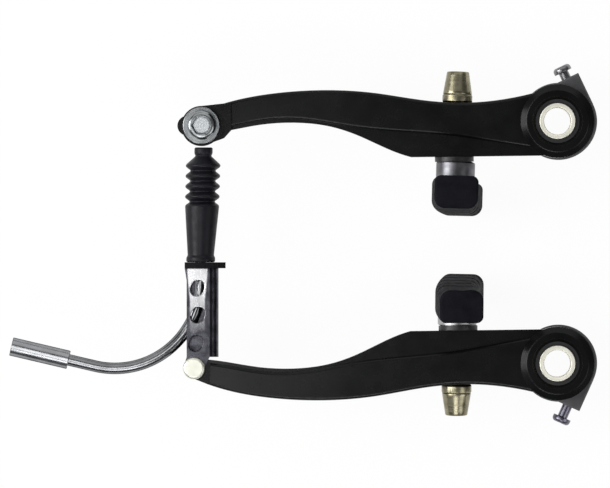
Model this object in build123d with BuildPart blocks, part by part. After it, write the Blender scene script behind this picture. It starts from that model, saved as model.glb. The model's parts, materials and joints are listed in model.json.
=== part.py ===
from build123d import *
import os
from math import cos, radians, sin, sqrt

os.makedirs("parts", exist_ok=True)

# Linear-pull bicycle rim brake, one wheel's set, lying as seen along its stud axes.
# Millimetres. +Z points out of the bicycle along the studs, the arms reach towards -X.
# The origin is on the noodle arm's stud axis, at the back end of its sleeve.

# Studs and arms
stud_spacing = 72.8          # distance between the two stud axes as laid out
stud_bore_radius = 4.05      # fits the usual 8 mm brake stud
sleeve_wall = 1.35
sleeve_recess = 0.4          # how far the sleeve's end lies below the boss's front
sleeve_flange_radius = 7.2
sleeve_flange_thickness = 1.0
running_gap = 0.05           # radial play of the bush on its sleeve
bush_wall = 1.15
arm_back = 7.8               # height of the arm's back face above the stud's shoulder
blade_front = 21.0           # height of the arm's front face at the pivot
blade_drop = 1.6             # degrees by which the front face falls towards the tip
lobe_step = 1.2              # how far the pad lobe lies below the front face
boss_radius = 11.05
boss_collar_radius = 9.3
boss_step = 1.3
countersink_radius = 7.6
blade_edge_radius = 0.9
arm_back_rounding = 0.6
boss_edge_radius = 0.5
link_pin_reach = 109.2       # from the stud to the link's pin at the noodle arm's tip
anchor_rest_angle = 0.69     # degrees, tip swung inward
noodle_rest_angle = -0.757   # degrees, tip swung outward

# Blade outline in the arm's own axes: along the arm from the pivot, then inward
outer_edge = [(link_pin_reach - 4.2, -4.95), (link_pin_reach - 8.2, -6.3), (link_pin_reach - 25.2, -9.5),
              (73.4, -10.15), (54.5, -9.1), (41, -6.9), (28.5, -5.9), (15, -6.95), (6.5, -8.7)]
inner_edge = [(50, 8.2), (60, 3.55), (68, 0.85), (79, -0.5), (link_pin_reach - 19.2, 0.1),
              (link_pin_reach - 11.2, 1.5), (link_pin_reach - 4.2, 2.55)]
crease_edge = [(27, 4.7), (40, 3.2), (53.4, 2.1), (64, 0.7), (79, -1.5), (link_pin_reach - 19.2, -0.95),
               (link_pin_reach - 11.2, 0.5), (link_pin_reach - 4.2, 1.55)]
lobe_face = 10.3             # inward distance of the flat face that carries the pad
lobe_corner = 44.0           # where that flat face ends along the arm
tip_root = (link_pin_reach - 11.2, -6.7)    # where the anchor arm's tip grows from the blade
anchor_tip_neck = (link_pin_reach - 9.0, 3.9)

# Cable line, link, noodle and boot
cable_height = 15.0          # height of the noodle tip and boot axis
tongue_length = 4.8          # from the arm's full thickness to the pin
tongue_thickness = 5.0
link_pin_radius = 2.0
link_pin_head_radius = 3.3
link_pin_head_height = 1.6
pin_gap = 0.06
link_side_gap = 0.2
link_sheet = 1.2
link_end_radius = 3.2
link_open_side = 2.2         # link edges and places, measured from the pin
link_back_side = 7.4
link_wall_reach = 3.4
link_plate_reach = 30.04
link_end_plate_thickness = 1.8
link_bend_radius = 2.7
link_flare = 0.6
link_flare_length = 3.6
link_lip = 2.1
keyhole_slot = 2.2
link_hole_length = 4.9
link_hole_width = 4.0
link_hole_tilt = -25.0
link_hole_rounding = 0.3
link_holes = [(1.02, 24.1), (1.13, 16.0), (0.59, 7.5)]
noodle_offset = 1.99         # noodle tip's axis, from the pin
noodle_bend_radius = 25.8
noodle_bend_reach = 25.74    # where the bend ends, from the pin
noodle_turn = 103.2
noodle_tube_radius = 1.75
noodle_bore_radius = 1.2
noodle_straight = 8.2
noodle_collar_radius = 2.55
noodle_collar_length = 2.2
noodle_nozzle_radius = 1.65
noodle_nozzle_length = 12.0
nozzle_gap = 0.1
liner_bore_radius = 0.85
ferrule_radius = 2.8
ferrule_length = 17.7
ferrule_overlap = 4.0
housing_socket_radius = 2.55
housing_socket_depth = 11.0
boot_tip_gap = 0.6           # between the boot's end and the anchor arm's tip
boot_lean = 1.5
boot_wall = 1.1
boot_seat_gap = 0.14
boot_bead_radius = 4.4
boot_sleeve_radii = (4.0, 5.2)
boot_sleeve_end = 17.2
boot_ridge_radius = 5.2
boot_valley_radius = 3.6
boot_ridge_count = 4
boot_ridge_margins = (0.8, 1.1)  # before the first and after the last ridge, in pitches
boot_ridge_flat = 0.3
boot_neck_radius = 2.3
boot_collar_radius = 2.8
boot_collar_length = 1.8
boot_cable_radius = 1.0

# Cable anchor
cable_side_step = 0.21       # from the noodle tip's axis to the anchor bolt, along the arm
anchor_tip_radius = 6.05
anchor_tip_inset = 0.15      # the tip's middle lies this much inward of the bolt
anchor_nose_step = 4.2       # from the bolt to the nose's own centre
anchor_nose_radius = 3.0
cable_seat_drop = 0.9        # clamping face below the cable line
anchor_spot_radius = 7.4
clamp_washer_radius = 5.55
clamp_washer_thickness = 1.6
anchor_thread_radius = 3.0
anchor_head_radius = 4.3
anchor_head_height = 4.2
anchor_head_rounding = 1.3
anchor_socket_flats = 5.0
anchor_socket_depth = 3.0

# Pads and their washers
pad_reach = 30.2             # where the pad's stud crosses the arm
pad_rise = 0.4               # height of the stud above the middle of the pad lobe
pad_tilt_depth = 0.0         # inward distance about which the stud is tilted
pad_stud_radius = 3.0
pad_slot_width = 7.8
pad_slot_length = 12.6
pad_length_front = 32.0
pad_length_rear = 20.0
pad_width = 13.2
pad_thickness = 9.9
pad_rim_rounding = 3.2
pad_back_rounding = 2.0
pad_end_rounding = 0.8
pad_rim_radius = 230.0
pad_groove_width = 1.6
pad_groove_depth = 2.2
pad_groove_count = 5
pad_groove_pitch = 8.4
pad_groove_start = 4.6
pad_root_radius = 4.6
pad_root_depth = 3.0
noodle_toe = 5.5             # degrees that the rear of each pad leads
anchor_toe = 2.4
noodle_pad_lean = -1.3       # degrees that each stud leans towards its arm's tip
anchor_pad_lean = 2.2
noodle_pad_turn = 2.1        # degrees that each pad is turned about its stud
anchor_pad_turn = 3.4
washer_radius = 5.85
cup_floor = 0.3
cup_extra_radius = 2.0       # the cup's hollow is this much flatter than its dome
cup_hole_radius = 4.4
dome_gap = 0.15
dome_curve_radius = 12.0
noodle_dome_rim = 3.4        # the two pads have a thin and a thick dome washer
anchor_dome_rim = 5.1
outer_washer_radius = 4.5
outer_pocket_floor = 4.6
outer_pocket_gap = 0.25
outer_dome_curve_radius = 10.0
outer_dome_rim = 2.2
nut_length = 6.9
nut_base_radius = 4.4
nut_end_radius = 3.3
nut_socket_flats = 4.0
nut_thread_length = 2.0

# Spring housing, return spring and adjuster screw
housing_radius = 11.6
housing_shift = 0.5          # the housing's middle lies this much behind the stud axis
housing_wall = 1.5
housing_edge_chamfer = 0.5
housing_floor = 0.7
housing_clearance = 0.4      # between the housing and the arm's back
housing_gap = 0.1
lug_inner_wall = 2.9         # the lug's two sides, measured from the screw's axis
lug_outer_wall = 3.9
lug_end = 10.4               # the lug's end along the screw
screw_offset = 8.2           # distance from the stud axis to the screw's axis
screw_angle = 65.0           # degrees from the arm, on the outer side
screw_floor_gap = 0.1        # between the screw and the housing's floor
screw_radius = 1.5
screw_gap = 0.05
screw_length = 12.0
screw_head_radius = 2.75
screw_head_height = 1.9
screw_head_rounding = 1.1
screw_cross_length = 3.6
screw_cross_width = 0.8
screw_cross_depth = 0.9
noodle_screw_out = 3.7       # how far each head stands off its lug
anchor_screw_out = 2.1
spring_wire_radius = 0.75
spring_coil_radius = 8.4
spring_leg_gap = 0.14        # between the spring's leg and the arm's back
spring_pitch = 2.5
spring_start_angle = 170.0
spring_leave_angle = 280.0
spring_leg_length = 50.0
spring_notch_start = 19.0    # degrees past the place where the leg leaves the coil
spring_notch_sweep = 59.0
spring_notch_gap = 0.5
peg_radius = 1.5
peg_reach = 46.0
peg_gap = 0.1
peg_overhang = 1.7           # how far the peg reaches past the leg's axis

sleeve_radius = stud_bore_radius + sleeve_wall
bush_inner_radius = sleeve_radius + running_gap
bush_radius = bush_inner_radius + bush_wall
boss_front = blade_front + boss_step
collar_front = boss_front + boss_step
lobe_front = blade_front - lobe_step
sleeve_length = collar_front - sleeve_recess
link_half_gap = tongue_thickness / 2 + link_side_gap
link_half_depth = link_half_gap + link_sheet
nozzle_hole_radius = noodle_nozzle_radius + nozzle_gap
anchor_reach = link_pin_reach - noodle_offset - cable_side_step
anchor_face = cable_height - cable_seat_drop
pad_height = (arm_back + lobe_front) / 2 + pad_rise
housing_top = arm_back - housing_clearance
screw_height = sleeve_flange_thickness + housing_floor + screw_floor_gap + screw_radius
spring_turns = (spring_leave_angle + 360 - spring_start_angle) / 360
spring_leg_height = arm_back - spring_leg_gap - spring_wire_radius
spring_start_height = spring_leg_height - spring_pitch * spring_turns
spring_notch_floor = spring_leg_height - spring_wire_radius - spring_notch_gap
peg_end = spring_leg_height - peg_overhang


class Side:
    """One of the two arms, with the axes that its pieces are placed in."""

    def __init__(self, name, pivot_y, inward, rest_angle, toe, pad_lean, pad_turn, dome_rim, screw_out):
        self.name = name
        self.pivot_y = pivot_y
        self.inward = inward
        self.toe = toe
        self.pad_lean = pad_lean
        self.pad_turn = pad_turn
        self.dome_rim = dome_rim
        self.screw_out = screw_out
        swing = radians(rest_angle)
        self.along = Vector(-cos(swing), inward * sin(swing), 0)
        self.inner = Vector(sin(swing), inward * cos(swing), 0)

    def plane(self, height=0.0):
        """Sketch plane with x along the arm; see at() for the second axis."""
        return Plane(origin=(0, self.pivot_y, height), x_dir=self.along, z_dir=(0, 0, 1))

    def front_plane(self, height):
        """Sketch plane that falls gently from the pivot towards the tip, like the arm's front face."""
        drop = radians(blade_drop)
        falling = self.along * cos(drop) - Vector(0, 0, 1) * sin(drop)
        facing = self.along * sin(drop) + Vector(0, 0, 1) * cos(drop)
        return Plane(origin=(0, self.pivot_y, height), x_dir=falling, z_dir=facing)

    def at(self, along, inward):
        """Sketch coordinates of a point given along the arm and inward."""
        return (along, -self.inward * inward)

    def point(self, along, inward, height):
        """Position in the part's frame of a point given in the arm's axes."""
        return Vector(0, self.pivot_y, height) + self.along * along + self.inner * inward

    def stud_direction(self):
        """Direction of the pad's stud, tilted so that the rear of the pad meets the rim first."""
        tilt = radians(self.toe)
        lean = radians(self.pad_lean)
        level = self.inner * cos(lean) + self.along * sin(lean)
        return level * cos(tilt) + Vector(0, 0, 1) * sin(tilt)

    def stud_point(self, inward):
        """Point on the pad's stud axis at an inward distance."""
        centre = self.point(pad_reach, pad_tilt_depth, pad_height)
        return centre + self.stud_direction() * (inward - pad_tilt_depth)

    def stud_section(self):
        """Plane through the stud's axis: x is inward along the stud, y runs along the arm."""
        direction = self.stud_direction()
        return Plane(origin=self.stud_point(0), x_dir=direction, z_dir=direction.cross(self.along))

    def stud_axis(self):
        return Axis(self.stud_point(0), self.stud_direction())

    def washer_section(self, sphere_inward):
        """Like stud_section, for a washer that lies flat on the arm under a dome's centre."""
        centre = self.stud_point(sphere_inward)
        origin = centre - self.inner * (centre - self.point(pad_reach, 0, centre.Z)).dot(self.inner)
        return Plane(origin=origin, x_dir=self.inner, z_dir=self.inner.cross(self.along))

    def screw_point(self, distance, offset):
        """Arm coordinates of a point given along the screw and away from the stud axis."""
        turn = radians(screw_angle)
        return (distance * cos(turn) - offset * sin(turn), -(distance * sin(turn) + offset * cos(turn)))

    def screw_plane(self, distance):
        """Plane across the adjuster screw, facing its head."""
        along, inward = self.screw_point(distance, screw_offset)
        turn = radians(screw_angle)
        facing = self.along * cos(turn) - self.inner * sin(turn)
        return Plane(origin=self.point(along, inward, screw_height), x_dir=(0, 0, 1), z_dir=facing)


noodle_side = Side("noodle", 0.0, 1, noodle_rest_angle, noodle_toe, noodle_pad_lean, noodle_pad_turn,
                   noodle_dome_rim, noodle_screw_out)
anchor_side = Side("anchor", stud_spacing, -1, anchor_rest_angle, anchor_toe, anchor_pad_lean,
                   anchor_pad_turn, anchor_dome_rim, anchor_screw_out)
sides = [noodle_side, anchor_side]


def finish(piece, name):
    """Label a finished piece and write it."""
    piece.part.label = name
    export_step(piece.part, f"parts/{name}.step")


def dome_centre(cup_face, floor, curve_radius):
    """Inward distance of a dome's centre of curvature when it sits in a cup on that face."""
    return cup_face + floor + dome_gap + curve_radius


def blade_outline(side, edge, flat_end):
    """Closed line along the outer edge and back along an inner edge that starts on a flat."""
    outer = [side.at(*p) for p in outer_edge]
    inner = [side.at(*p) for p in edge]
    with BuildLine() as outline:
        Spline(outer)
        Polyline(outer[-1], side.at(0, outer_edge[-1][1]), side.at(0, flat_end), inner[0])
        Spline(inner)
        Line(inner[-1], outer[0])
    return outline.edges()


def pad_slot_plane(side, inward, level_with):
    """Plane across the pad's stud, facing inward, at the height that the stud has further along."""
    origin = side.point(pad_reach, inward, side.stud_point(level_with).Z)
    return Plane(origin=origin, x_dir=side.along, z_dir=side.inner)


def arm_blank(side):
    """Blade, pad lobe, boss and spring peg, before the tip is shaped."""
    lobe_edge = [(lobe_corner, lobe_face)] + inner_edge
    with BuildPart() as front_layer:
        with BuildSketch(side.plane(arm_back)):
            make_face(blade_outline(side, crease_edge, boss_collar_radius))
        extrude(amount=collar_front - arm_back)
        split(bisect_by=side.front_plane(blade_front), keep=Keep.BOTTOM)
        fillet(front_layer.faces().sort_by(Axis.Z)[-1].edges(), blade_edge_radius)
    with BuildPart() as blank:
        with BuildSketch(side.plane(arm_back)):
            make_face(blade_outline(side, lobe_edge, lobe_face))
        extrude(amount=collar_front - arm_back)
        split(bisect_by=side.front_plane(lobe_front), keep=Keep.BOTTOM)
        add(front_layer.part)
        with BuildSketch(side.plane(arm_back)):
            Circle(boss_radius)
        extrude(amount=boss_front - arm_back)
        with BuildSketch(side.plane(boss_front)):
            Circle(boss_radius)
        with BuildSketch(side.plane(collar_front)):
            Circle(boss_collar_radius)
        loft()
        fillet(blank.faces().sort_by(Axis.Z)[-1].edges(), boss_edge_radius)
        fillet(blank.faces().sort_by(Axis.Z)[0].edges(), arm_back_rounding)
    return blank


def arm_cuts(side, blank):
    """Bore, countersink, pad slot and outer pocket of an arm, and its spring peg."""
    peg_inward = peg_clearance_line(side)
    with BuildPart() as arm:
        add(blank)
        with BuildSketch(side.plane(peg_end)):
            with Locations(side.at(peg_reach, peg_inward)):
                Circle(peg_radius)
        extrude(amount=arm_back + lobe_step - peg_end)
        with BuildSketch(side.plane(arm_back)):
            Circle(bush_radius)
        extrude(amount=collar_front - arm_back, mode=Mode.SUBTRACT)
        with BuildSketch(side.plane(collar_front)):
            Circle(countersink_radius)
        with BuildSketch(side.plane(collar_front - boss_step)):
            Circle(bush_radius)
        loft(mode=Mode.SUBTRACT)
        slot_middle = (lobe_face - outer_pocket_floor) / 2
        with BuildSketch(pad_slot_plane(side, slot_middle, slot_middle)):
            SlotOverall(pad_slot_length, pad_slot_width)
        extrude(amount=lobe_face + outer_pocket_floor, both=True, mode=Mode.SUBTRACT)
        outer_centre = dome_centre(outer_pocket_floor, cup_floor, outer_dome_curve_radius)
        with BuildSketch(pad_slot_plane(side, -outer_pocket_floor, -outer_centre)):
            pocket = 2 * (outer_washer_radius + outer_pocket_gap)
            SlotOverall(pocket + pad_slot_length - pad_slot_width, pocket)
        extrude(amount=-pocket, mode=Mode.SUBTRACT)
    return arm


def peg_clearance_line(side):
    """Inward place of the spring peg, just outside the spring's leg."""
    leave = radians(spring_leave_angle)
    start_along = spring_coil_radius * cos(leave)
    start_inward = -spring_coil_radius * sin(leave)
    slope = -sin(leave - radians(270)) / cos(leave - radians(270))
    leg_inward = start_inward + slope * (peg_reach - start_along)
    return leg_inward - spring_wire_radius - peg_radius - peg_gap


def make_anchor_arm(side):
    blank = arm_blank(side)
    with BuildPart() as tipped:
        add(blank.part)
        with BuildSketch(side.plane(arm_back)):
            with Locations(side.at(anchor_reach, anchor_tip_inset)):
                Circle(anchor_tip_radius)
            with Locations(side.at(anchor_reach + anchor_nose_step, 0)):
                Circle(anchor_nose_radius)
            with BuildLine():
                Polyline(side.at(*tip_root), side.at(anchor_reach, anchor_tip_inset - anchor_tip_radius),
                         side.at(anchor_reach, anchor_tip_inset + anchor_tip_radius),
                         side.at(*anchor_tip_neck), side.at(*inner_edge[-2]), close=True)
            make_face()
        extrude(amount=lobe_front - arm_back)
        with BuildSketch(side.plane(anchor_face)):
            with Locations(side.at(anchor_reach, 0)):
                Circle(anchor_spot_radius)
            with Locations(side.at(anchor_reach + anchor_spot_radius, 0)):
                Rectangle(2 * anchor_spot_radius, 4 * anchor_spot_radius)
        extrude(amount=blade_front, mode=Mode.SUBTRACT)
        with BuildSketch(side.plane(arm_back)):
            with Locations(side.at(anchor_reach, 0)):
                Circle(anchor_thread_radius)
        extrude(amount=blade_front, mode=Mode.SUBTRACT)
    return arm_cuts(side, tipped.part)


def make_noodle_arm(side):
    blank = arm_blank(side)
    low = cable_height - tongue_thickness / 2
    with BuildPart() as tipped:
        add(blank.part)
        with BuildSketch(side.plane(low)):
            with Locations(side.at(link_pin_reach, 0)):
                Circle(link_end_radius)
            with BuildLine():
                Polyline(side.at(*outer_edge[0]), side.at(link_pin_reach, -link_end_radius),
                         side.at(link_pin_reach, link_end_radius), side.at(*inner_edge[-1]), close=True)
            make_face()
        extrude(amount=tongue_thickness)
        for start, amount in ((low, -cable_height), (low + tongue_thickness, cable_height)):
            with BuildSketch(side.plane(start)):
                with Locations(side.at(link_pin_reach - tongue_length + boss_radius, 0)):
                    Rectangle(2 * boss_radius, 4 * boss_radius)
            extrude(amount=amount, mode=Mode.SUBTRACT)
        with BuildSketch(side.plane(low)):
            with Locations(side.at(link_pin_reach, 0)):
                Circle(link_pin_radius)
        extrude(amount=tongue_thickness, mode=Mode.SUBTRACT)
    return arm_cuts(side, tipped.part)


finish(make_noodle_arm(noodle_side), "noodle_arm")
finish(make_anchor_arm(anchor_side), "anchor_arm")


def make_pivot_bush(side):
    with BuildPart() as bush:
        with BuildSketch(side.plane(arm_back)):
            Circle(bush_radius)
            Circle(bush_inner_radius, mode=Mode.SUBTRACT)
        extrude(amount=collar_front - boss_step - arm_back)
    return bush


def make_pivot_sleeve(side):
    with BuildPart() as sleeve:
        with BuildSketch(side.plane()):
            Circle(sleeve_flange_radius)
        extrude(amount=sleeve_flange_thickness)
        with BuildSketch(side.plane()):
            Circle(sleeve_radius)
        extrude(amount=sleeve_length)
        with BuildSketch(side.plane()):
            Circle(stud_bore_radius)
        extrude(amount=sleeve_length, mode=Mode.SUBTRACT)
    return sleeve


def make_spring_housing(side):
    floor = sleeve_flange_thickness + housing_floor
    with BuildPart() as housing:
        with BuildSketch(side.plane(sleeve_flange_thickness)):
            with Locations(side.at(-housing_shift, 0)):
                Circle(housing_radius)
            lug_inner = screw_offset - lug_inner_wall
            lug_outer = screw_offset + lug_outer_wall
            corners = [(0, lug_inner), (lug_end, lug_inner), (lug_end, lug_outer), (0, lug_outer)]
            with BuildLine():
                Polyline([side.at(*side.screw_point(*c)) for c in corners], close=True)
            make_face()
        extrude(amount=housing_top - sleeve_flange_thickness)
        ends = housing.faces().sort_by(Axis.Z)
        chamfer(ends[0].edges() + ends[-1].edges(), housing_edge_chamfer)
        with BuildSketch(side.plane(floor)):
            with Locations(side.at(-housing_shift, 0)):
                Circle(housing_radius - housing_wall)
        extrude(amount=housing_top - floor, mode=Mode.SUBTRACT)
        with BuildSketch(side.plane(sleeve_flange_thickness)):
            Circle(sleeve_radius + housing_gap)
        extrude(amount=housing_floor, mode=Mode.SUBTRACT)
        with BuildSketch(side.screw_plane(0)):
            Circle(screw_radius + screw_gap)
        extrude(amount=lug_end, mode=Mode.SUBTRACT)
        notch_start = spring_leave_angle + spring_notch_start
        notch = [radians(notch_start + spring_notch_sweep * f) for f in (0, 0.5, 1)]
        with BuildSketch(side.plane(spring_notch_floor)):
            with BuildLine():
                Polyline([(0, 0)] + [side.at(2 * housing_radius * cos(a), -2 * housing_radius * sin(a))
                                     for a in notch], close=True)
            make_face()
        extrude(amount=housing_top, mode=Mode.SUBTRACT)
    return housing


def make_return_spring(side):
    """A coil round the sleeve, then a straight leg up the back of the arm to its peg."""
    first = radians(spring_start_angle)
    start = side.along * cos(first) - side.inner * sin(first)
    coil_plane = Plane(origin=(0, side.pivot_y, spring_start_height), x_dir=start, z_dir=(0, 0, 1))
    helix = Helix(spring_pitch, spring_pitch * spring_turns, spring_coil_radius, lefthand=side.inward < 0,
                  mode=Mode.PRIVATE)
    coil = (coil_plane.location * helix).edge()
    lean = radians(spring_leave_angle - 270)
    leg_direction = side.along * cos(lean) - side.inner * sin(lean)
    leg = Edge.make_line(coil @ 1, (coil @ 1) + leg_direction * spring_leg_length)
    with BuildPart() as spring:
        with BuildSketch(Plane(origin=coil @ 0, z_dir=coil % 0)):
            Circle(spring_wire_radius)
        sweep(path=Wire([coil, leg]))
    return spring


def make_adjuster_screw(side):
    head = lug_end + side.screw_out
    with BuildPart() as screw:
        with BuildSketch(side.screw_plane(head - screw_length)):
            Circle(screw_radius)
        extrude(amount=screw_length)
        with BuildSketch(side.screw_plane(head)):
            Circle(screw_head_radius)
        extrude(amount=screw_head_height)
        fillet(screw.faces().sort_by(screw_axis(side))[-1].edges(), screw_head_rounding)
        with BuildSketch(side.screw_plane(head + screw_head_height)):
            Rectangle(screw_cross_length, screw_cross_width)
            Rectangle(screw_cross_width, screw_cross_length)
        extrude(amount=-screw_cross_depth, mode=Mode.SUBTRACT)
    return screw


def screw_axis(side):
    """Axis along the adjuster screw, towards its head."""
    plane = side.screw_plane(0)
    return Axis(plane.origin, plane.z_dir)


def make_brake_pad(side):
    """Rubber block curved to the rim, with rounded long edges and cross grooves."""
    direction = side.stud_direction()
    middle = pad_rim_radius
    forward = direction.cross(side.along) * side.inward
    turn = radians(side.pad_turn)
    across = side.along * cos(turn) - forward * sin(turn)
    plane = Plane(origin=side.stud_point(pad_back(side)), x_dir=across, z_dir=direction)
    front_sign = 1 if plane.y_dir.Z > 0 else -1
    first = -pad_length_rear / pad_rim_radius
    last = pad_length_front / pad_rim_radius

    def on_arc(radius, angle):
        return (radius * cos(angle) - middle, front_sign * radius * sin(angle))

    with BuildPart() as pad:
        with BuildSketch(plane):
            with BuildLine():
                near = middle - pad_width / 2
                far = middle + pad_width / 2
                ThreePointArc(on_arc(far, first), on_arc(far, 0), on_arc(far, last))
                Line(on_arc(far, last), on_arc(near, last))
                ThreePointArc(on_arc(near, last), on_arc(near, 0), on_arc(near, first))
                Line(on_arc(near, first), on_arc(far, first))
            make_face()
        extrude(amount=pad_thickness)
        for face, rounding in ((-1, pad_rim_rounding), (0, pad_back_rounding)):
            long_edges = pad.faces().sort_by(side.stud_axis())[face].edges().sort_by(SortBy.LENGTH)[-2:]
            fillet(long_edges, rounding)
        ends = pad.faces().sort_by(Axis.Z)
        fillet(ends[0].edges() + ends[-1].edges(), pad_end_rounding)
        with BuildSketch(plane.offset(pad_thickness)):
            for i in range(pad_groove_count):
                place = pad_groove_start - pad_length_rear + i * pad_groove_pitch
                with Locations((0, front_sign * place)):
                    Rectangle(2 * pad_width, pad_groove_width)
        extrude(amount=-pad_groove_depth, mode=Mode.SUBTRACT)
        with BuildSketch(plane):
            Circle(pad_root_radius)
        extrude(amount=pad_root_depth, mode=Mode.SUBTRACT)
    return pad


def inner_dome_rim():
    """Inward distance of the inner dome washer's rim, where its straight side starts."""
    apex = lobe_face + cup_floor + dome_gap
    return apex + dome_curve_radius - sqrt(dome_curve_radius ** 2 - washer_radius ** 2)


def pad_back(side):
    """Inward distance of the pad's back, where the inner dome washer ends."""
    return inner_dome_rim() + side.dome_rim


def outer_dome_rim_place():
    """Outward distance of the outer dome washer's rim, where its straight side starts."""
    apex = outer_pocket_floor + cup_floor + dome_gap
    return apex + outer_dome_curve_radius - sqrt(outer_dome_curve_radius ** 2 - outer_washer_radius ** 2)


def outer_nut_base():
    return outer_dome_rim_place() + outer_dome_rim


def make_pad_stud(side):
    with BuildPart() as stud:
        with BuildSketch(side.stud_section()):
            back = pad_back(side)
            end = -(outer_nut_base() + nut_thread_length)
            with BuildLine():
                Polyline((end, 0), (end, pad_stud_radius), (back, pad_stud_radius),
                         (back, pad_root_radius), (back + pad_root_depth, pad_root_radius),
                         (back + pad_root_depth, 0), close=True)
            make_face()
        revolve(axis=side.stud_axis())
    return stud


def make_cup_washer(side, face, facing, radius, curve_radius, sphere_inward):
    """Washer lying flat on the arm with a hollow seat that faces away from it."""
    seat = curve_radius + cup_extra_radius
    section = side.washer_section(sphere_inward)
    rim = cup_floor + seat - sqrt(seat ** 2 - radius ** 2)
    hole = cup_floor + seat - sqrt(seat ** 2 - cup_hole_radius ** 2)
    between = (radius + cup_hole_radius) / 2
    middle = cup_floor + seat - sqrt(seat ** 2 - between ** 2)
    with BuildPart() as cup:
        with BuildSketch(section):
            with BuildLine():
                Polyline((face + facing * hole, cup_hole_radius), (face, cup_hole_radius),
                         (face, radius), (face + facing * rim, radius))
                ThreePointArc((face + facing * rim, radius), (face + facing * middle, between),
                              (face + facing * hole, cup_hole_radius))
            make_face()
        revolve(axis=Axis(section.origin, section.x_dir))
    return cup


def make_dome_washer(side, apex, facing, radius, curve_radius, back):
    """Washer on the stud with a domed face towards its cup."""
    inner = pad_stud_radius
    between = (radius + inner) / 2

    def dome(r):
        return apex + facing * (curve_radius - sqrt(curve_radius ** 2 - r ** 2))

    with BuildPart() as washer:
        with BuildSketch(side.stud_section()):
            with BuildLine():
                Polyline((dome(radius), radius), (back, radius), (back, inner), (dome(inner), inner))
                ThreePointArc((dome(inner), inner), (dome(between), between), (dome(radius), radius))
            make_face()
        revolve(axis=side.stud_axis())
    return washer


def make_pad_nut(side):
    base = -outer_nut_base()
    end = base - nut_length
    socket = base - nut_thread_length
    with BuildPart() as nut:
        with BuildSketch(side.stud_section()):
            with BuildLine():
                Polyline((base, pad_stud_radius), (base, nut_base_radius), (end, nut_end_radius),
                         (end, 0), (socket, 0), (socket, pad_stud_radius), close=True)
            make_face()
        revolve(axis=side.stud_axis())
        mouth = Plane(origin=side.stud_point(end), x_dir=side.along, z_dir=side.stud_direction())
        with BuildSketch(mouth):
            RegularPolygon(nut_socket_flats / 2, 6, major_radius=False)
        extrude(amount=nut_length - nut_thread_length, mode=Mode.SUBTRACT)
    return nut


for side in sides:
    inner_centre = dome_centre(lobe_face, cup_floor, dome_curve_radius)
    outer_centre = dome_centre(outer_pocket_floor, cup_floor, outer_dome_curve_radius)
    inner_apex = lobe_face + cup_floor + dome_gap
    outer_apex = outer_pocket_floor + cup_floor + dome_gap
    finish(make_pivot_bush(side), f"{side.name}_pivot_bush")
    finish(make_pivot_sleeve(side), f"{side.name}_pivot_sleeve")
    finish(make_spring_housing(side), f"{side.name}_spring_housing")
    finish(make_return_spring(side), f"{side.name}_return_spring")
    finish(make_adjuster_screw(side), f"{side.name}_adjuster_screw")
    finish(make_brake_pad(side), f"{side.name}_brake_pad")
    finish(make_pad_stud(side), f"{side.name}_pad_stud")
    finish(make_cup_washer(side, lobe_face, 1, washer_radius, dome_curve_radius, inner_centre),
           f"{side.name}_inner_cup_washer")
    finish(make_dome_washer(side, inner_apex, 1, washer_radius, dome_curve_radius, pad_back(side)),
           f"{side.name}_inner_dome_washer")
    finish(make_cup_washer(side, -outer_pocket_floor, -1, outer_washer_radius, outer_dome_curve_radius,
                           -outer_centre), f"{side.name}_outer_cup_washer")
    finish(make_dome_washer(side, -outer_apex, -1, outer_washer_radius, outer_dome_curve_radius,
                            -outer_nut_base()), f"{side.name}_outer_dome_washer")
    finish(make_pad_nut(side), f"{side.name}_pad_nut")

anchor_plane = anchor_side.plane(anchor_face)
with BuildPart() as cable_clamp_washer:
    with BuildSketch(anchor_plane):
        with Locations(anchor_side.at(anchor_reach, 0)):
            Circle(clamp_washer_radius)
            Circle(anchor_thread_radius, mode=Mode.SUBTRACT)
    extrude(amount=clamp_washer_thickness)
finish(cable_clamp_washer, "cable_clamp_washer")

with BuildPart() as cable_anchor_bolt:
    with BuildSketch(anchor_side.plane(arm_back)):
        with Locations(anchor_side.at(anchor_reach, 0)):
            Circle(anchor_thread_radius)
    extrude(amount=anchor_face + clamp_washer_thickness - arm_back)
    with BuildSketch(anchor_plane.offset(clamp_washer_thickness)):
        with Locations(anchor_side.at(anchor_reach, 0)):
            Circle(anchor_head_radius)
    extrude(amount=anchor_head_height)
    fillet(cable_anchor_bolt.faces().sort_by(Axis.Z)[-1].edges(), anchor_head_rounding)
    with BuildSketch(anchor_plane.offset(clamp_washer_thickness + anchor_head_height)):
        with Locations(anchor_side.at(anchor_reach, 0)):
            RegularPolygon(anchor_socket_flats / 2, 6, major_radius=False)
    extrude(amount=-anchor_socket_depth, mode=Mode.SUBTRACT)
finish(cable_anchor_bolt, "cable_anchor_bolt")

pin_top = cable_height + link_half_depth + pin_gap
pin_bottom = cable_height - link_half_depth - pin_gap
with BuildPart() as link_pin:
    for start, radius, height in (
        (pin_bottom - link_pin_head_height, link_pin_head_radius, link_pin_head_height),
        (pin_bottom, link_pin_radius, pin_top - pin_bottom),
        (pin_top, link_pin_head_radius, link_pin_head_height),
    ):
        with BuildSketch(noodle_side.plane(start)):
            with Locations(noodle_side.at(link_pin_reach, 0)):
                Circle(radius)
        extrude(amount=height)
    fillet(link_pin.faces().sort_by(Axis.Z)[-1].edges(), link_pin_head_height / 2)
finish(link_pin, "link_pin")

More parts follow.
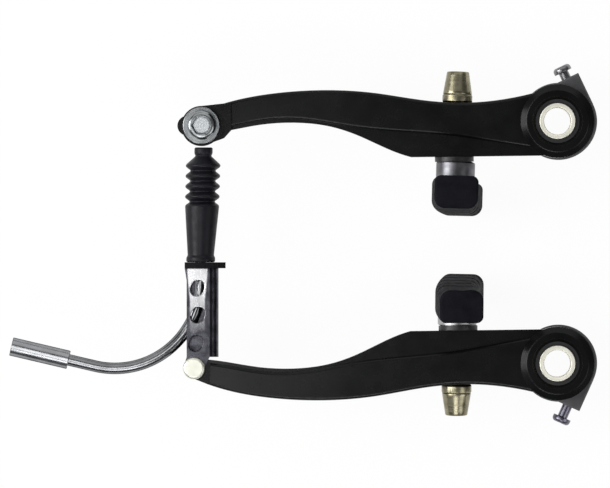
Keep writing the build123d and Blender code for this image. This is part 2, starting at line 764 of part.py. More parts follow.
pin_place = noodle_side.point(link_pin_reach, 0, 0)
link_left = pin_place.X - link_open_side
link_right = pin_place.X + link_back_side
link_wall_start = pin_place.Y + link_wall_reach
link_end_plate = pin_place.Y + link_plate_reach
noodle_axis_x = pin_place.X + noodle_offset
low = cable_height - link_half_depth
high = cable_height + link_half_depth
with BuildPart() as noodle_link:
    with BuildSketch(Plane.XZ.offset(-link_wall_start)):
        with BuildLine():
            Polyline((link_left, low), (link_right, low), (link_right, high), (link_left, high),
                     close=True)
        make_face()
        bend = vertices().group_by(Axis.X)[-1]
        fillet(bend, link_bend_radius)
        with BuildLine():
            inner_right = link_right - link_sheet
            Polyline((link_left, low + link_sheet), (inner_right, low + link_sheet),
                     (inner_right, high - link_sheet), (link_left, high - link_sheet), close=True)
        make_face(mode=Mode.SUBTRACT)
    extrude(amount=-(link_end_plate - link_wall_start))
    plate_right = link_right - link_bend_radius
    for start in (low, high - link_sheet):
        with BuildSketch(Plane.XY.offset(start)):
            with Locations((pin_place.X, pin_place.Y)):
                Circle(link_end_radius)
            with BuildLine():
                Polyline((pin_place.X - link_end_radius, pin_place.Y), (link_left, link_wall_start),
                         (plate_right, link_wall_start), (pin_place.X + link_end_radius, pin_place.Y),
                         close=True)
            make_face()
            with BuildLine():
                flare_start = link_end_plate - link_flare_length
                Polyline((link_left, flare_start), (link_left - link_flare, link_end_plate),
                         (plate_right, link_end_plate), (plate_right, flare_start), close=True)
            make_face()
        extrude(amount=link_sheet)
    with BuildSketch(Plane.XZ.offset(-link_end_plate)):
        with Locations(((link_left - link_flare + link_right) / 2, cable_height)):
            Rectangle(link_right - link_left + link_flare, 2 * link_half_depth)
        with Locations((link_right + link_lip / 2, cable_height)):
            Rectangle(link_lip, link_half_depth)
        with Locations((noodle_axis_x, cable_height)):
            Circle(nozzle_hole_radius, mode=Mode.SUBTRACT)
        with Locations((noodle_axis_x - link_half_depth * 2, cable_height)):
            Rectangle(4 * link_half_depth, keyhole_slot, mode=Mode.SUBTRACT)
    extrude(amount=-link_end_plate_thickness)
    with BuildSketch(Plane.XY.offset(high - link_sheet)):
        with Locations([(pin_place.X + x, pin_place.Y + y) for x, y in link_holes]):
            Ellipse(link_hole_width / 2, link_hole_length / 2, rotation=link_hole_tilt)
    extrude(amount=link_sheet, mode=Mode.SUBTRACT)
    hole_rims = noodle_link.faces().sort_by(Axis.Z)[-1].inner_wires()
    fillet([edge for rim in hole_rims for edge in rim.edges()], link_hole_rounding)
    with BuildSketch(Plane.XY.offset(low)):
        with Locations((pin_place.X, pin_place.Y)):
            Circle(link_pin_radius + pin_gap)
    extrude(amount=2 * link_half_depth, mode=Mode.SUBTRACT)
finish(noodle_link, "noodle_link")


def noodle_path(start_along, end_y):
    """Centreline from a place on the straight end, round the bend and up to the tip."""
    turn = radians(noodle_turn)
    heading = turn - radians(90)
    centre = Vector(noodle_axis_x - noodle_bend_radius, pin_place.Y + noodle_bend_reach, cable_height)
    bend_start = centre - Vector(sin(heading), cos(heading)) * noodle_bend_radius
    bend_middle = centre + Vector(sin(turn / 2 - heading), -cos(turn / 2 - heading)) * noodle_bend_radius
    bend_end = centre + Vector(noodle_bend_radius, 0)
    straight_start = bend_start + Vector(-cos(heading), sin(heading)) * start_along
    with BuildLine() as path:
        Line(straight_start, bend_start)
        ThreePointArc(bend_start, bend_middle, bend_end)
        Line(bend_end, Vector(noodle_axis_x, end_y, cable_height))
    return path.line


tip_end = link_end_plate + link_end_plate_thickness + noodle_nozzle_length
tube_line = noodle_path(noodle_straight + ferrule_overlap, link_end_plate)
tip_base = Plane.XZ.offset(-(link_end_plate - noodle_collar_length))
with BuildPart() as noodle_tube:
    with BuildSketch(Plane(origin=tube_line @ 0, z_dir=tube_line % 0)):
        Circle(noodle_tube_radius)
    sweep(path=tube_line)
    with BuildSketch(tip_base):
        with Locations((noodle_axis_x, cable_height)):
            Circle(noodle_collar_radius)
    extrude(amount=-noodle_collar_length)
    with BuildSketch(tip_base):
        with Locations((noodle_axis_x, cable_height)):
            Circle(noodle_nozzle_radius)
    extrude(amount=-(tip_end - link_end_plate + noodle_collar_length))
    bore_line = noodle_path(noodle_straight + ferrule_overlap, tip_end)
    with BuildSketch(Plane(origin=bore_line @ 0, z_dir=bore_line % 0)):
        Circle(noodle_bore_radius)
    sweep(path=bore_line, mode=Mode.SUBTRACT)
finish(noodle_tube, "noodle_tube")

with BuildPart() as noodle_liner:
    with BuildSketch(Plane(origin=bore_line @ 0, z_dir=bore_line % 0)):
        Circle(noodle_bore_radius)
        Circle(liner_bore_radius, mode=Mode.SUBTRACT)
    sweep(path=bore_line)
finish(noodle_liner, "noodle_liner")

ferrule_start = noodle_path(noodle_straight, tip_end)
ferrule_plane = Plane(origin=ferrule_start @ 0, z_dir=-(ferrule_start % 0))
with BuildPart() as noodle_ferrule:
    with BuildSketch(ferrule_plane):
        Circle(ferrule_radius)
    extrude(amount=ferrule_length)
    with BuildSketch(ferrule_plane):
        Circle(noodle_tube_radius)
    extrude(amount=ferrule_overlap, mode=Mode.SUBTRACT)
    with BuildSketch(ferrule_plane.offset(ferrule_overlap)):
        Circle(liner_bore_radius)
    extrude(amount=ferrule_length, mode=Mode.SUBTRACT)
    with BuildSketch(ferrule_plane.offset(ferrule_length)):
        Circle(housing_socket_radius)
    extrude(amount=-housing_socket_depth, mode=Mode.SUBTRACT)
finish(noodle_ferrule, "noodle_ferrule")

boot_axis = Vector(sin(radians(boot_lean)), cos(radians(boot_lean)), 0)
boot_foot = link_end_plate + link_end_plate_thickness + boot_seat_gap
boot_plane = Plane(origin=(noodle_axis_x, boot_foot, cable_height), x_dir=boot_axis, z_dir=(0, 0, 1))
boot_end = anchor_tip_inset + anchor_tip_radius + boot_tip_gap
boot_length = anchor_side.point(anchor_reach, boot_end, 0).Y - boot_foot
neck = boot_length - boot_collar_length
first_margin, last_margin = boot_ridge_margins
boot_ridge_pitch = (neck - boot_sleeve_end) / (boot_ridge_count - 1 + first_margin + last_margin)
boot_outside = [(boot_wall, boot_bead_radius), (boot_wall * 2, boot_sleeve_radii[0]),
                (boot_sleeve_end, boot_sleeve_radii[1])]
for i in range(boot_ridge_count):
    ridge = boot_sleeve_end + (i + first_margin) * boot_ridge_pitch
    boot_outside += [(ridge - boot_ridge_pitch / 2, boot_valley_radius),
                     (ridge - boot_ridge_flat, boot_ridge_radius),
                     (ridge + boot_ridge_flat, boot_ridge_radius)]
boot_outside += [(neck - boot_wall / 2, boot_neck_radius), (neck, boot_collar_radius)]
boot_inside = [(place, radius - boot_wall) for place, radius in boot_outside[1:-1]]
with BuildPart() as cable_boot:
    with BuildSketch(boot_plane):
        with BuildLine():
            Polyline([(0, nozzle_hole_radius), (0, boot_bead_radius)] + boot_outside
                     + [(boot_length, boot_collar_radius), (boot_length, boot_cable_radius),
                        (neck, boot_cable_radius)]
                     + boot_inside[::-1] + [(boot_wall * 2, nozzle_hole_radius)], close=True)
        make_face()
    revolve(axis=Axis(boot_plane.origin, boot_plane.x_dir))
finish(cable_boot, "cable_boot")
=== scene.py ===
import json
from math import cos, pi, radians, sin, tan
import bmesh
import bpy
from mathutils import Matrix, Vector


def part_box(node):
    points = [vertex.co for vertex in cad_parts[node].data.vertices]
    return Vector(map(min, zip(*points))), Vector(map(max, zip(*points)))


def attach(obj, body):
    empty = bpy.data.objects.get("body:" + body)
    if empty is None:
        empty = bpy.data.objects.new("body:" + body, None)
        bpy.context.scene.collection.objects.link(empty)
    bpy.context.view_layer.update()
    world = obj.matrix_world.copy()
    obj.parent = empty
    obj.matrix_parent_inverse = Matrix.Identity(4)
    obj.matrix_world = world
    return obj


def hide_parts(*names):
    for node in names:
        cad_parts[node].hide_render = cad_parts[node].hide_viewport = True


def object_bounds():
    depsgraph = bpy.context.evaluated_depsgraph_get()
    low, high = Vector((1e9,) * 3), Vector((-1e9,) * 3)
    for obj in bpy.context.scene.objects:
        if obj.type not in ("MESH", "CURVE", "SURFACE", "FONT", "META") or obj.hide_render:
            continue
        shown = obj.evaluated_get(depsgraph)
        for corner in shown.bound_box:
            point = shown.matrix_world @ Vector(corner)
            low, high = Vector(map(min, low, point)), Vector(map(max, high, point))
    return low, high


# Looks of a linear-pull rim brake: a finish for every piece, small rounded edges on the turned pieces,
# and the rubber boot. The scene is in metres, in the frame of the part. Names that end in mm, and the
# boot's sizes, are in millimetres.

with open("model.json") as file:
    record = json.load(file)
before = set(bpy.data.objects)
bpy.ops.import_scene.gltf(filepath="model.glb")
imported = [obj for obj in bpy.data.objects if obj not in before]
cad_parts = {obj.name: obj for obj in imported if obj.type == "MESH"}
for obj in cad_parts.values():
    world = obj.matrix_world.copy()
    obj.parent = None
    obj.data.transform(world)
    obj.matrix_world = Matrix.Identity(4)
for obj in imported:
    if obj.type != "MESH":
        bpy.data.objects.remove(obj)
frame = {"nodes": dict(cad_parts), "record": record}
nodes = frame["nodes"]
cad_low, cad_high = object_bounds()
joints = {joint["name"]: joint for joint in frame["record"]["behaviour"]["joints"]}
mounts = {mount["name"]: mount for mount in frame["record"]["mounts"]}
MM = 0.001

# Photograph: its size, its scale and the pixel that the noodle arm's stud axis falls on
PHOTO_WIDTH = 610
PHOTO_HEIGHT = 488
PIXELS_PER_MM = 3.33
STUD_PIXEL = (557.5, 363.5)
CAMERA_DISTANCE = 6.0
FACE_HEIGHT = 0.021          # height of the arms' front faces, where that scale holds
SENSOR_WIDTH = 36.0

# Floor and sky
FLOOR_DROP = 0.002
FLOOR_HALF = 4.0
FLOOR_COLOUR = (0.9, 0.9, 0.9, 1)
FLOOR_WHITE_SHARE = 0.95     # share of plain white in the floor as the camera or a mirror sees it
FLOOR_GLOW = 1.0
SKY_COLOUR = (0.95, 0.97, 1.0, 1)
SKY_STRENGTH = 0.13

# Lamps: name, place and aim from the middle of the picture, width and height, power in watts
LAMPS = (
    ("key_left", (-1.15, 0.1, 0.85), (0, 0, 0), (0.8, 0.9), 16.0),
    ("front_low", (-0.05, -0.75, 1.0), (0, 0, 0), (0.6, 0.35), 3.5),
    ("fill_right", (1.0, -0.5, 0.9), (0, 0, 0), (0.8, 0.8), 4.0),
    ("back_top", (0.0, 1.1, 0.8), (0, 0, 0), (2.0, 1.3), 7.0),
    ("overhead", (-0.105, -0.06, 0.4), (-0.105, -0.09, 0), (0.13, 0.20), 0.29),
)

# Colours of the finishes, each as a darker and a lighter tone
BLACK_COAT = ((0.0024, 0.0024, 0.0027), (0.0050, 0.0050, 0.0054))
BUSH_NYLON = ((0.008, 0.008, 0.008), (0.016, 0.016, 0.016))
CUP_BLACK = ((0.01, 0.01, 0.01), (0.018, 0.018, 0.018))
LINER_BLACK = ((0.02, 0.02, 0.02), (0.035, 0.035, 0.035))
HOUSING_GREY = ((0.065, 0.065, 0.068), (0.10, 0.10, 0.105))
PAD_RUBBER = ((0.0040, 0.0040, 0.0060), (0.0080, 0.0080, 0.0115))
BOOT_RUBBER = ((0.0040, 0.0040, 0.0065), (0.0080, 0.0080, 0.012))
SLEEVE_PLATE = ((0.80, 0.78, 0.67), (0.94, 0.92, 0.82))
SPRING_STEEL = ((0.30, 0.30, 0.31), (0.45, 0.45, 0.46))
BRIGHT_STEEL = ((0.34, 0.34, 0.35), (0.52, 0.52, 0.53))
DULL_STEEL = ((0.11, 0.11, 0.12), (0.20, 0.20, 0.214))
BOLT_STEEL = ((0.225, 0.237, 0.243), (0.365, 0.382, 0.39))
GREY_ZINC = ((0.19, 0.19, 0.195), (0.28, 0.28, 0.29))
BLUE_ZINC = ((0.115, 0.112, 0.14), (0.19, 0.186, 0.225))
YELLOW_ZINC = ((0.185, 0.168, 0.108), (0.37, 0.342, 0.238))
PIN_POLISH = ((0.70, 0.70, 0.61), (0.80, 0.80, 0.70))
FERRULE_SILVER = ((0.27, 0.275, 0.285), (0.37, 0.378, 0.39))
TUBE_SILVER = ((0.19, 0.194, 0.20), (0.27, 0.276, 0.285))
LINK_DARK = ((0.032, 0.032, 0.038), (0.095, 0.095, 0.11))
# painted reflection on the link's front face, as a darker and a lighter tone
LINK_PAINTED_REFLECTION = ((0.54, 0.54, 0.555), (0.72, 0.72, 0.735))

# Single colours: painted shade on the link's end plate, a brighter plain colour at the middle of the bolt's
# head, and tubes seen at a slant
LINK_END_SHADE = (0.010, 0.010, 0.011)
CENTRE_TONE = (0.66, 0.69, 0.71)
TUBE_SLANT_TINT = (0.12, 0.12, 0.13, 1)

# The link's painted reflection, a bright strip on its front face: its sides from the pin's axis, where it
# starts and is fully bright above the link's lower end, and how far below the upper end it stops
REFLECTION_SIDES_MM = (-1.4, 3.5)
REFLECTION_START_MM = 14
REFLECTION_FULL_MM = 27
REFLECTION_STOP_MM = 1.8

# Rounded edges made by modifiers
EDGE_ANGLE = 40.0            # edges sharper than this are rounded
EDGE_SEGMENTS = 3
WELD_MM = 0.001

# The rubber boot: places along its axis, radii, and the rounding of the corners
BOOT_LEAN = 1.5              # degrees
BOOT_SEAT = 0.03
BOOT_LENGTH = 34.5
BOOT_WALL = 1.0
BOOT_BEAD = 4.35
BOOT_BEAD_END = 1.4
BOOT_SLEEVE = ((2.0, 3.95), (17.1, 5.15))
BOOT_RIDGES = (19.68, 22.78, 25.88, 28.98)
BOOT_RIDGE = 5.2
BOOT_RIDGE_HALF = 0.35       # half of a ridge's flat top
BOOT_VALLEY = 3.6
BOOT_VALLEY_BACK = 1.5       # from a valley to the middle of the next ridge
BOOT_NECK = ((31.95, 2.3), (32.55, 2.75))
BOOT_HOLE = 1.75
BOOT_TIP_HOLE = 1.05
BOOT_ROUNDING = 0.55
ROUNDING_SHARE = 0.45        # most of a line's length that one rounded corner may take
ROUNDING_STEPS = 4
TURN_STEPS = 72


def make_camera():
    """Long lens straight down the stud axes, framed as the photograph is."""
    centre_x = (PHOTO_WIDTH / 2 - STUD_PIXEL[0]) / PIXELS_PER_MM * MM
    centre_y = (STUD_PIXEL[1] - PHOTO_HEIGHT / 2) / PIXELS_PER_MM * MM
    view_width = PHOTO_WIDTH / PIXELS_PER_MM * MM
    data = bpy.data.cameras.new("camera")
    data.sensor_fit = "HORIZONTAL"
    data.sensor_width = SENSOR_WIDTH
    data.lens = SENSOR_WIDTH * CAMERA_DISTANCE / view_width
    camera = bpy.data.objects.new("camera", data)
    camera.location = (centre_x, centre_y, FACE_HEIGHT + CAMERA_DISTANCE)
    bpy.context.scene.collection.objects.link(camera)
    bpy.context.scene.camera = camera
    return Vector((centre_x, centre_y, 0))


def seen_or_mirrored(tree):
    """Light Path switch that is 1 for what the camera, metal or glass sees."""
    path = tree.nodes.new("ShaderNodeLightPath")
    switch = path.outputs["Is Camera Ray"]
    for ray in ("Is Glossy Ray", "Is Transmission Ray"):
        either = tree.nodes.new("ShaderNodeMath")
        either.operation = "MAXIMUM"
        tree.links.new(switch, either.inputs[0])
        tree.links.new(path.outputs[ray], either.inputs[1])
        switch = either.outputs[0]
    return switch


def make_floor(middle):
    """White floor under the part, which keeps only a faint shadow."""
    corners = [(-FLOOR_HALF, -FLOOR_HALF), (FLOOR_HALF, -FLOOR_HALF), (FLOOR_HALF, FLOOR_HALF),
               (-FLOOR_HALF, FLOOR_HALF)]
    height = cad_low.z - FLOOR_DROP
    mesh = bpy.data.meshes.new("floor")
    mesh.from_pydata([(middle.x + x, middle.y + y, height) for x, y in corners], [], [(0, 1, 2, 3)])
    floor = bpy.data.objects.new("floor", mesh)
    bpy.context.scene.collection.objects.link(floor)
    material = bpy.data.materials.new("white_floor")
    material.use_nodes = True
    tree = material.node_tree
    tree.nodes.clear()
    output = tree.nodes.new("ShaderNodeOutputMaterial")
    diffuse = tree.nodes.new("ShaderNodeBsdfDiffuse")
    diffuse.inputs["Color"].default_value = FLOOR_COLOUR
    glow = tree.nodes.new("ShaderNodeEmission")
    glow.inputs["Strength"].default_value = FLOOR_GLOW
    share = tree.nodes.new("ShaderNodeMath")
    share.operation = "MULTIPLY"
    share.inputs[1].default_value = FLOOR_WHITE_SHARE
    mix = tree.nodes.new("ShaderNodeMixShader")
    tree.links.new(seen_or_mirrored(tree), share.inputs[0])
    tree.links.new(share.outputs[0], mix.inputs["Fac"])
    tree.links.new(diffuse.outputs[0], mix.inputs[1])
    tree.links.new(glow.outputs[0], mix.inputs[2])
    tree.links.new(mix.outputs[0], output.inputs["Surface"])
    mesh.materials.append(material)


def make_world():
    world = bpy.data.worlds.new("studio")
    world.use_nodes = True
    sky = world.node_tree.nodes["Background"]
    sky.inputs["Color"].default_value = SKY_COLOUR
    sky.inputs["Strength"].default_value = SKY_STRENGTH
    bpy.context.scene.world = world


def add_light(name, place, aim, size, power):
    """Soft rectangular lamp that the camera doesn't see."""
    data = bpy.data.lights.new(name, "AREA")
    data.shape = "RECTANGLE"
    data.size, data.size_y = size
    data.energy = power
    lamp = bpy.data.objects.new(name, data)
    lamp.location = place
    lamp.rotation_euler = (aim - lamp.location).to_track_quat("-Z", "Y").to_euler()
    lamp.visible_camera = False
    bpy.context.scene.collection.objects.link(lamp)


class Finish:
    """One material, with short calls for the kinds of node used here."""

    def __init__(self, name, metallic=0.0, specular=0.5):
        self.material = bpy.data.materials.new(name)
        self.material.use_nodes = True
        self.tree = self.material.node_tree
        self.shader = self.tree.nodes["Principled BSDF"]
        self.shader.inputs["Metallic"].default_value = metallic
        self.shader.inputs["Specular IOR Level"].default_value = specular
        self.place = self.tree.nodes.new("ShaderNodeTexCoord").outputs["Object"]
        self.relief = None

    def node(self, kind, **settings):
        made = self.tree.nodes.new(kind)
        for key, value in settings.items():
            setattr(made, key, value)
        return made

    def link(self, source, target):
        self.tree.links.new(source, target)

    def math(self, operation, first, second=0.0):
        made = self.node("ShaderNodeMath", operation=operation)
        for socket, value in zip(made.inputs, (first, second)):
            if isinstance(value, (int, float)):
                socket.default_value = value
            else:
                self.link(value, socket)
        return made.outputs[0]

    def product(self, first, *others):
        for other in others:
            first = self.math("MULTIPLY", first, other)
        return first

    def split(self, vector):
        """The three parts of a vector."""
        made = self.node("ShaderNodeSeparateXYZ")
        self.link(vector, made.inputs[0])
        return made.outputs["X"], made.outputs["Y"], made.outputs["Z"]

    def noise(self, grain_mm, detail=4.0, place=None):
        """Cloudy values between 0 and 1 with features of about this size."""
        made = self.node("ShaderNodeTexNoise")
        made.inputs["Scale"].default_value = 1.0 / (grain_mm * MM)
        made.inputs["Detail"].default_value = detail
        self.link(place or self.place, made.inputs["Vector"])
        return made.outputs["Fac"]

    def around(self, point, axis):
        """Coordinates round an axis, for turned marks: distance from it and place along it."""
        mapping = self.node("ShaderNodeMapping", vector_type="TEXTURE")
        mapping.inputs["Location"].default_value = point
        mapping.inputs["Rotation"].default_value = Vector(axis).to_track_quat("Z", "Y").to_euler()
        self.link(self.place, mapping.inputs["Vector"])
        x, y, along = self.split(mapping.outputs[0])
        squares = self.math("ADD", self.product(x, x), self.product(y, y))
        joined = self.node("ShaderNodeCombineXYZ")
        self.link(self.math("SQRT", squares), joined.inputs["X"])
        self.link(along, joined.inputs["Y"])
        return joined.outputs[0]

    def range(self, value, low=0.0, high=1.0, start=0.3, end=0.7):
        """Values that go from low to high while the given one goes from start to end."""
        made = self.node("ShaderNodeMapRange")
        self.link(value, made.inputs["Value"])
        for key, number in (("From Min", start), ("From Max", end), ("To Min", low), ("To Max", high)):
            made.inputs[key].default_value = number
        return made.outputs[0]

    def blend(self, value, first, second):
        """Colour between two colours; either may be a socket."""
        made = self.node("ShaderNodeMix", data_type="RGBA")
        self.link(value, made.inputs["Factor"])
        for socket, colour in zip((made.inputs["A"], made.inputs["B"]), (first, second)):
            if isinstance(colour, tuple):
                socket.default_value = (*colour, 1)
            else:
                self.link(colour, socket)
        return made.outputs["Result"]

    def colour(self, source):
        self.link(source, self.shader.inputs["Base Color"])

    def roughness(self, value, low, high):
        self.link(self.range(value, low, high), self.shader.inputs["Roughness"])

    def bump(self, value, depth_mm, strength):
        made = self.node("ShaderNodeBump")
        made.inputs["Strength"].default_value = strength
        made.inputs["Distance"].default_value = depth_mm * MM
        self.link(value, made.inputs["Height"])
        if self.relief:
            self.link(self.relief, made.inputs["Normal"])
        self.relief = made.outputs[0]
        self.link(self.relief, self.shader.inputs["Normal"])


def paint_black(name):
    """Satin black coat with a fine grain and a little cloudiness."""
    finish = Finish(name, specular=0.2)
    finish.colour(finish.blend(finish.range(finish.noise(grain_mm=14, detail=3)), *BLACK_COAT))
    finish.roughness(finish.noise(grain_mm=6), low=0.22, high=0.30)
    finish.bump(finish.noise(grain_mm=0.22, detail=2), depth_mm=0.004, strength=0.4)
    finish.bump(finish.noise(grain_mm=1.6, detail=2), depth_mm=0.006, strength=0.3)
    return finish.material


def moulded_plastic(name, tones, roughness):
    """Moulded plastic with a spark-eroded grain."""
    finish = Finish(name, specular=0.4)
    finish.colour(finish.blend(finish.range(finish.noise(grain_mm=4)), *tones))
    finish.roughness(finish.noise(grain_mm=1.5), low=roughness - 0.07, high=roughness + 0.07)
    finish.bump(finish.noise(grain_mm=0.3, detail=3), depth_mm=0.02, strength=0.5)
    return finish.material


def moulded_rubber(name, tones, roughness, specular):
    """Moulded rubber with a soft bloom and small pale specks."""
    finish = Finish(name, specular=specular)
    bloom = finish.range(finish.noise(grain_mm=5, detail=5), start=0.35, end=0.75)
    speck = finish.range(finish.noise(grain_mm=0.35, detail=2), high=0.3, start=0.6, end=0.75)
    speck_tone = tuple(2.0 * part for part in tones[1])
    finish.colour(finish.blend(speck, finish.blend(bloom, *tones), speck_tone))
    finish.roughness(finish.noise(grain_mm=2), low=roughness - 0.08, high=roughness + 0.1)
    finish.bump(finish.noise(grain_mm=0.4), depth_mm=0.02, strength=0.5)
    return finish.material


def turned_metal(name, point, axis, tones, roughness, ring_mm=0.5, centre_mm=0.0):
    """Turned or drawn metal: faint rings round its axis, small stains and a varied gloss.
    Near the axis, out to the given distance, it takes a brighter plain colour."""
    finish = Finish(name, metallic=1.0)
    turned = finish.around(point, axis)
    rings = finish.noise(grain_mm=ring_mm, detail=2, place=turned)
    colour = finish.blend(finish.range(finish.noise(grain_mm=3.0)), *tones)
    if centre_mm:
        fade_mm = 0.3
        distance = finish.split(turned)[0]
        # a brighter plain colour near the axis
        centre_share = finish.range(distance, low=1.0, high=0.0, start=(centre_mm - fade_mm) * MM, end=centre_mm * MM)
        colour = finish.blend(centre_share, colour, CENTRE_TONE)
    finish.colour(colour)
    finish.roughness(rings, low=roughness - 0.05, high=roughness + 0.07)
    finish.bump(rings, depth_mm=0.004, strength=0.3)
    return finish.material


def plated_tube(name, tones, roughness):
    """Bright plated tube with small stains and a soft ripple, dark where it turns away."""
    finish = Finish(name, metallic=1.0)
    finish.shader.inputs["Specular Tint"].default_value = TUBE_SLANT_TINT
    finish.colour(finish.blend(finish.range(finish.noise(grain_mm=3.5)), *tones))
    finish.roughness(finish.noise(grain_mm=4.0, detail=3), low=roughness - 0.03, high=roughness + 0.04)
    finish.bump(finish.noise(grain_mm=3.0, detail=2), depth_mm=0.003, strength=0.15)
    return finish.material


def black_chrome(name, face_height, face_sides, reflection_from, reflection_to, reflection_end):
    """Black-chromed sheet whose front face carries a painted reflection, bright towards the noodle's end,
    where it widens.
    Past that end the sheet is coloured near black, a painted shade."""
    fade = 0.4 * MM
    face_skin = 0.15 * MM
    wander_reach = 5.0 * MM
    widen_reach = 0.7 * MM
    widen_from = reflection_end - 9.5 * MM
    widen_to = reflection_end - 2 * MM
    line_stretch = (1.0, 0.08, 1.0)
    finish = Finish(name, metallic=1.0)
    x, y, z = finish.split(finish.place)

    on_face = finish.range(z, start=face_height - fade, end=face_height - face_skin)
    cloudy = finish.math("SUBTRACT", finish.noise(grain_mm=3.0, detail=3), 0.5)
    wandering = finish.math("ADD", y, finish.product(cloudy, wander_reach))
    begun = finish.range(wandering, start=reflection_from, end=reflection_to)
    # painted shade past the upper end, where the painted reflection also stops
    painted_end_shade = finish.range(y, start=reflection_end - fade, end=reflection_end)
    left, right = face_sides
    widen = finish.range(y, high=widen_reach, start=widen_from, end=widen_to)
    from_left = finish.range(finish.math("ADD", x, widen), start=left, end=left + fade)
    from_right = finish.range(finish.math("SUBTRACT", x, widen), low=1.0, high=0.0,
                              start=right - fade, end=right)
    # painted reflection: the part of the front face that is coloured bright
    painted_reflection = finish.product(begun, finish.math("SUBTRACT", 1.0, painted_end_shade), from_left, from_right, on_face)

    stretched = finish.node("ShaderNodeMapping")
    stretched.inputs["Scale"].default_value = line_stretch
    finish.link(finish.place, stretched.inputs["Vector"])
    lines = finish.noise(grain_mm=0.4, detail=3, place=stretched.outputs[0])
    dark = finish.blend(finish.range(finish.noise(grain_mm=2.2, detail=5)), *LINK_DARK)
    # painted shade: the end plate coloured near black
    dark = finish.blend(painted_end_shade, dark, LINK_END_SHADE)
    # dark chrome with the painted reflection laid over it
    finish.colour(finish.blend(painted_reflection, dark, finish.blend(lines, *LINK_PAINTED_REFLECTION)))
    finish.roughness(lines, low=0.14, high=0.26)
    finish.bump(finish.noise(grain_mm=2.5, detail=3), depth_mm=0.008, strength=0.3)
    return finish.material


def round_edges(piece, width_mm):
    """Small rounded edges that catch the light, made by modifiers only."""
    weld = piece.modifiers.new("weld", "WELD")
    weld.merge_threshold = WELD_MM * MM
    bevel = piece.modifiers.new("round", "BEVEL")
    bevel.width = width_mm * MM
    bevel.segments = EDGE_SEGMENTS
    bevel.limit_method = "ANGLE"
    bevel.angle_limit = radians(EDGE_ANGLE)
    bevel.use_clamp_overlap = False
    bevel.harden_normals = True
    weighted = piece.modifiers.new("even", "WEIGHTED_NORMAL")
    weighted.keep_sharp = True


def dress(node, material, edge_mm=0.0):
    """Give a node of the part its finish and, where a width is given, rounded edges."""
    mesh = nodes[node].data
    mesh.materials.clear()
    mesh.materials.append(material)
    if edge_mm:
        round_edges(nodes[node], edge_mm)


def middle_of(node):
    low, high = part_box(node)
    return (low + high) / 2


def dress_sides():
    """Finishes of the pieces that both arms have. The two screws and the two pad washers differ in tone."""
    upright = (0, 0, 1)
    arm_coat = paint_black("arm_black_coat")
    bush = moulded_plastic("bush_nylon", BUSH_NYLON, roughness=0.5)
    housing = moulded_plastic("housing_plastic", HOUSING_GREY, roughness=0.45)
    pad = moulded_rubber("pad_rubber", PAD_RUBBER, roughness=0.7, specular=0.06)
    cup = moulded_plastic("cup_black", CUP_BLACK, roughness=0.4)
    for side, screw_tones, washer_tones in (("noodle", BLUE_ZINC, BRIGHT_STEEL),
                                            ("anchor", GREY_ZINC, DULL_STEEL)):
        stud = Vector(mounts[f"{side}_stud_bore"]["pos_m"])
        pad_point = Vector(joints[f"{side}_pad_swivel"]["pos_m"])
        pad_axis = Vector(joints[f"{side}_pad_swivel"]["axis"])
        screw_point = middle_of(f"{side}_adjuster_screw")
        screw_axis = Vector(joints[f"{side}_adjuster_travel"]["axis"])
        sleeve = turned_metal(f"{side}_sleeve_plate", stud, upright, SLEEVE_PLATE, roughness=0.5)
        spring = turned_metal(f"{side}_spring_wire", stud, upright, SPRING_STEEL, roughness=0.35, ring_mm=0.2)
        screw = turned_metal(f"{side}_screw_zinc", screw_point, screw_axis, screw_tones, roughness=0.3)
        dress(f"{side}_arm", arm_coat)
        dress(f"{side}_pivot_bush", bush)
        dress(f"{side}_spring_housing", housing)
        dress(f"{side}_brake_pad", pad)
        dress(f"{side}_inner_cup_washer", cup, edge_mm=0.12)
        dress(f"{side}_outer_cup_washer", cup, edge_mm=0.12)
        dress(f"{side}_pivot_sleeve", sleeve, edge_mm=0.2)
        dress(f"{side}_return_spring", spring)
        dress(f"{side}_adjuster_screw", screw, edge_mm=0.1)
        for piece in ("pad_stud", "inner_dome_washer"):
            steel = turned_metal(f"{side}_{piece}_steel", pad_point, pad_axis, washer_tones, roughness=0.38)
            dress(f"{side}_{piece}", steel, edge_mm=0.1)
        for piece in ("outer_dome_washer", "pad_nut"):
            zinc = turned_metal(f"{side}_{piece}_zinc", pad_point, pad_axis, YELLOW_ZINC, roughness=0.3)
            dress(f"{side}_{piece}", zinc, edge_mm=0.3)


def dress_cable_end():
    """Finishes of the anchor bolt, the link and the noodle."""
    upright = (0, 0, 1)
    pin_point = Vector(joints["link_swing"]["pos_m"])
    # the bolt's head is a brighter plain colour near its axis
    bolt = turned_metal("anchor_bolt_steel", middle_of("cable_anchor_bolt"), upright, BOLT_STEEL,
                        roughness=0.26, centre_mm=2.4)
    dress("cable_anchor_bolt", bolt, edge_mm=0.2)
    dress("cable_clamp_washer", bolt, edge_mm=0.2)
    pin = turned_metal("link_pin_polish", pin_point, upright, PIN_POLISH, roughness=0.4)
    dress("link_pin", pin, edge_mm=0.15)
    link_low, link_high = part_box("noodle_link")
    # the link's front face carries a painted reflection and its end a painted shade
    dress("noodle_link", black_chrome("link_plate", link_high.z,
                                      [pin_point.x + side * MM for side in REFLECTION_SIDES_MM],
                                      link_low.y + REFLECTION_START_MM * MM, link_low.y + REFLECTION_FULL_MM * MM,
                                      link_high.y - REFLECTION_STOP_MM * MM))
    dress("noodle_ferrule", plated_tube("ferrule_plate", FERRULE_SILVER, roughness=0.24), edge_mm=0.25)
    dress("noodle_tube", plated_tube("noodle_plate", TUBE_SILVER, roughness=0.2), edge_mm=0.15)
    dress("noodle_liner", moulded_plastic("liner_plastic", LINER_BLACK, roughness=0.4))


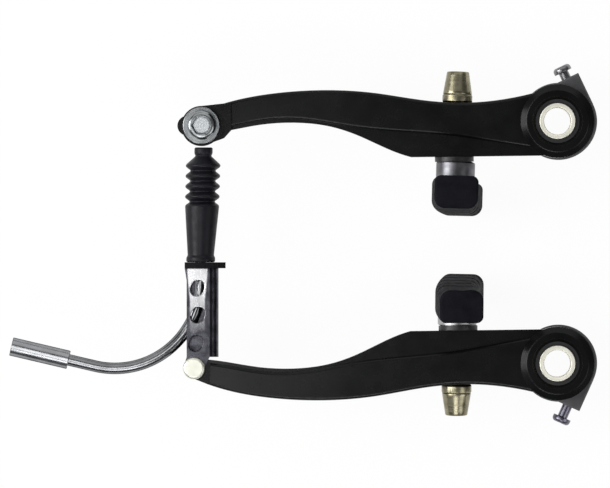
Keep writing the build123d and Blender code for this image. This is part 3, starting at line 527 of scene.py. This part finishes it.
def rounded(corners, reach):
    """Points of a line whose inside corners are replaced by short curves."""
    points = [Vector(corners[0])]
    for before, corner, after in zip(corners, corners[1:], corners[2:]):
        corner = Vector(corner)
        back = Vector(before) - corner
        ahead = Vector(after) - corner
        first = corner + back * min(ROUNDING_SHARE, reach / back.length)
        last = corner + ahead * min(ROUNDING_SHARE, reach / ahead.length)
        for step in range(ROUNDING_STEPS + 1):
            t = step / ROUNDING_STEPS
            points.append(first * (1 - t) ** 2 + corner * 2 * t * (1 - t) + last * t ** 2)
    return points + [Vector(corners[-1])]


def boot_section():
    """Closed section of the boot: outside up to its tip, then back along the inside."""
    bellows = [BOOT_SLEEVE[1]]
    for ridge in BOOT_RIDGES:
        bellows += [(ridge - BOOT_VALLEY_BACK, BOOT_VALLEY), (ridge - BOOT_RIDGE_HALF, BOOT_RIDGE),
                    (ridge + BOOT_RIDGE_HALF, BOOT_RIDGE)]
    bellows.append(BOOT_NECK[0])
    foot = [(0.0, BOOT_HOLE), (0.0, BOOT_BEAD), (BOOT_BEAD_END, BOOT_BEAD), BOOT_SLEEVE[0]]
    tip = [BOOT_NECK[1], (BOOT_LENGTH, BOOT_NECK[1][1]), (BOOT_LENGTH, BOOT_TIP_HOLE)]
    inside = [(place, max(radius - BOOT_WALL, BOOT_TIP_HOLE)) for place, radius in reversed(bellows)]
    return rounded(foot + bellows + tip, BOOT_ROUNDING) + inside + [(BOOT_SLEEVE[0][0], BOOT_HOLE)]


def make_boot():
    """Rubber bellows about the noodle tip's axis, flat on the link's end plate and leaning above it."""
    start = Vector(joints["noodle_swivel"]["pos_m"])
    start.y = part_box("noodle_link")[1].y + BOOT_SEAT * MM
    axis = Vector((tan(radians(BOOT_LEAN)), 1, 0))
    section = boot_section()
    work = bmesh.new()
    rings = []
    for step in range(TURN_STEPS):
        angle = 2 * pi * step / TURN_STEPS
        spoke = Vector((cos(angle), 0, sin(angle)))
        rings.append([work.verts.new(start + (axis * place + spoke * radius) * MM)
                      for place, radius in section])
    for ring, following in zip(rings, rings[1:] + rings[:1]):
        for i in range(len(section)):
            j = (i + 1) % len(section)
            work.faces.new((ring[i], ring[j], following[j], following[i]))
    bmesh.ops.recalc_face_normals(work, faces=work.faces)
    mesh = bpy.data.meshes.new("rubber_boot")
    work.to_mesh(mesh)
    work.free()
    for face in mesh.polygons:
        face.use_smooth = True
    mesh.materials.append(moulded_rubber("boot_rubber", BOOT_RUBBER, roughness=0.42, specular=0.2))
    boot = bpy.data.objects.new("rubber_boot", mesh)
    bpy.context.scene.collection.objects.link(boot)
    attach(boot, "noodle_group")
    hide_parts("cable_boot")


bpy.context.scene.view_settings.view_transform = "Standard"
picture_middle = make_camera()
make_floor(picture_middle)
make_world()
for lamp_name, lamp_place, lamp_aim, lamp_size, lamp_power in LAMPS:
    add_light(lamp_name, picture_middle + Vector(lamp_place), picture_middle + Vector(lamp_aim), lamp_size,
              lamp_power)
dress_sides()
dress_cable_end()
make_boot()
